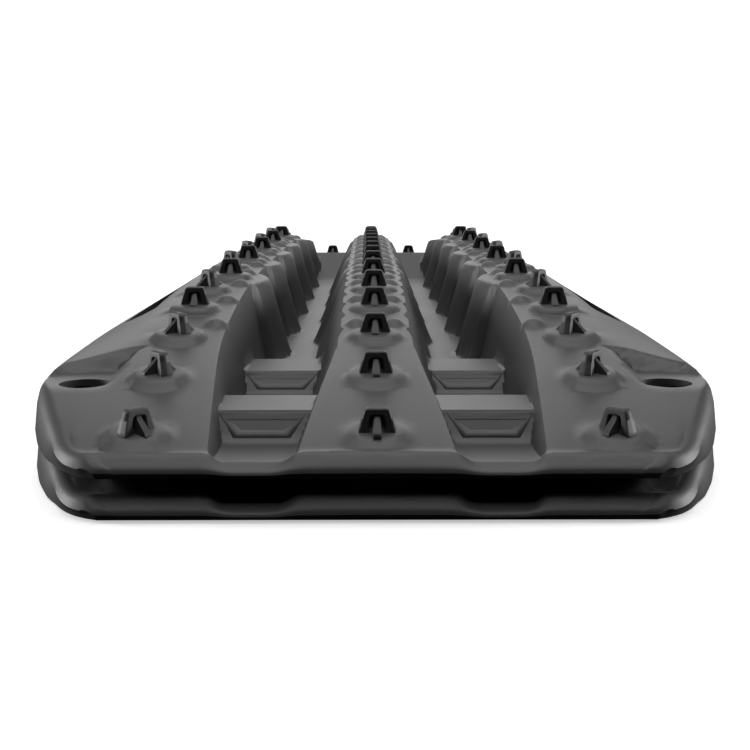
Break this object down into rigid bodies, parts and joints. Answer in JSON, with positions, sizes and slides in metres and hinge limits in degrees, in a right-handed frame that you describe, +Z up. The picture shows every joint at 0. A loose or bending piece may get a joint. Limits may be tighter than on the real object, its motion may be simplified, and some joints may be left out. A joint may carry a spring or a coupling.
{
  "type": "vehicle recovery board pair",
  "caption": "Nested pair of moulded traction boards with rows of grip cleats, tie-down holes and hand slots; the upper board lifts off the lower one.",
  "frame": {"origin": "on the ground under the middle of the nested pair", "axes": "+Z up, +Y along the boards from the end with the two cross steps in each channel (near end) to the end with the raised deck, +X across them"},
  "size_m": [0.331, 1.145, 0.0879],
  "materials": {
    "board_plastic": "satin moulded dark grey polymer",
    "cleat_plastic": "satin moulded dark grey polymer, slightly darker than the board"
  },
  "bodies": {
    "root": {"lower_shell": "board_plastic", "lower_left_cleats": "cleat_plastic", "lower_centre_cleats": "cleat_plastic", "lower_right_cleats": "cleat_plastic", "lower_deck_cleats": "cleat_plastic"},
    "upper_board": {"upper_shell": "board_plastic", "upper_left_cleats": "cleat_plastic", "upper_centre_cleats": "cleat_plastic", "upper_right_cleats": "cleat_plastic", "upper_deck_cleats": "cleat_plastic"}
  },
  "joints": [
    {"name": "upper_board_lift", "type": "slide", "parent": "root", "child": "upper_board", "axis": [0, 0, 1], "range_m": [0, 0.12]}
  ]
}
